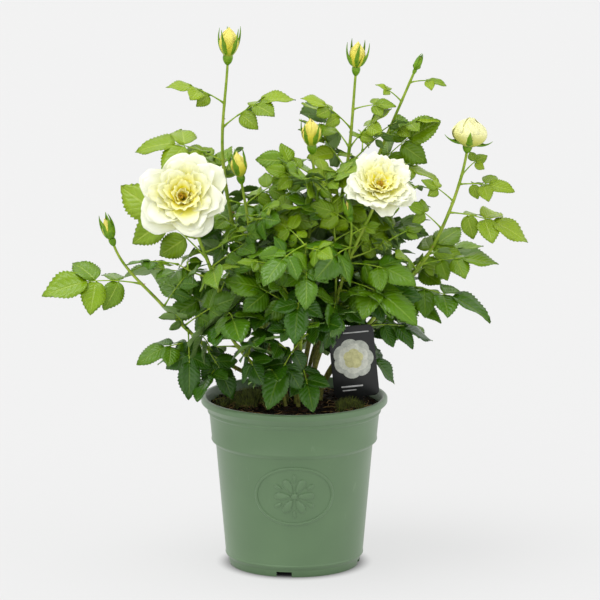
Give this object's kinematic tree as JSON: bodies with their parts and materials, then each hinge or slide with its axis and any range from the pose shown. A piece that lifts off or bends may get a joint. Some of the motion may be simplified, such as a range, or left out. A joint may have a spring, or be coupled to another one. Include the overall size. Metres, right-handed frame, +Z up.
{
  "type": "potted rose bush",
  "caption": "Young patio rose bush in a green nursery pot, with open cream roses, yellow buds, compost and a plant label.",
  "frame": {"origin": "the middle of the pot's flat underside, on the surface that it stands on", "axes": "+Z up the plant; -Y is the front, where the pot's raised oval and the label face; +X is to the right seen from the front"},
  "size_m": [0.4912, 0.3211, 0.5541],
  "materials": {
    "pot_green": "matt moulded plastic",
    "compost_brown": "moist fibrous compost",
    "label_black": "satin printed card",
    "cane_bark": "green young bark",
    "leaf_green": "waxy leaf",
    "petal_cream": "soft petal",
    "bud_yellow": "soft petal"
  },
  "bodies": {
    "root": {"pot": "pot_green", "compost": "compost_brown", "plant_label": "label_black", "cane_low_left": "cane_bark", "cane_tall_left": "cane_bark", "cane_rose_left": "cane_bark", "cane_mid_left": "cane_bark", "cane_centre": "cane_bark", "cane_tall_centre": "cane_bark", "cane_tall_right": "cane_bark", "cane_far_right": "cane_bark", "cane_rose_right": "cane_bark", "cane_back_left": "cane_bark", "cane_back": "cane_bark", "cane_back_right": "cane_bark", "cane_low_right": "cane_bark", "cane_low_back_left": "cane_bark", "cane_low_back": "cane_bark", "cane_front": "cane_bark", "cane_low_front": "cane_bark", "foliage_low_left": "leaf_green", "foliage_tall_left": "leaf_green", "foliage_rose_left": "leaf_green", "foliage_mid_left": "leaf_green", "foliage_centre": "leaf_green", "foliage_tall_centre": "leaf_green", "foliage_tall_right": "leaf_green", "foliage_far_right": "leaf_green", "foliage_rose_right": "leaf_green", "foliage_back_left": "leaf_green", "foliage_back": "leaf_green", "foliage_back_right": "leaf_green", "foliage_low_right": "leaf_green", "foliage_low_back_left": "leaf_green", "foliage_low_back": "leaf_green", "foliage_front": "leaf_green", "foliage_low_front": "leaf_green", "rose_bloom_left": "petal_cream", "rose_bloom_right": "petal_cream", "rose_bloom_back": "petal_cream", "rose_half_open": "petal_cream", "bud_low_left": "bud_yellow", "bud_tall_left": "bud_yellow", "bud_mid_left": "bud_yellow", "bud_centre": "bud_yellow", "bud_tall_centre": "bud_yellow", "bud_tall_right": "bud_yellow", "bud_back_left": "bud_yellow", "bud_back_right": "bud_yellow"}
  },
  "joints": []
}
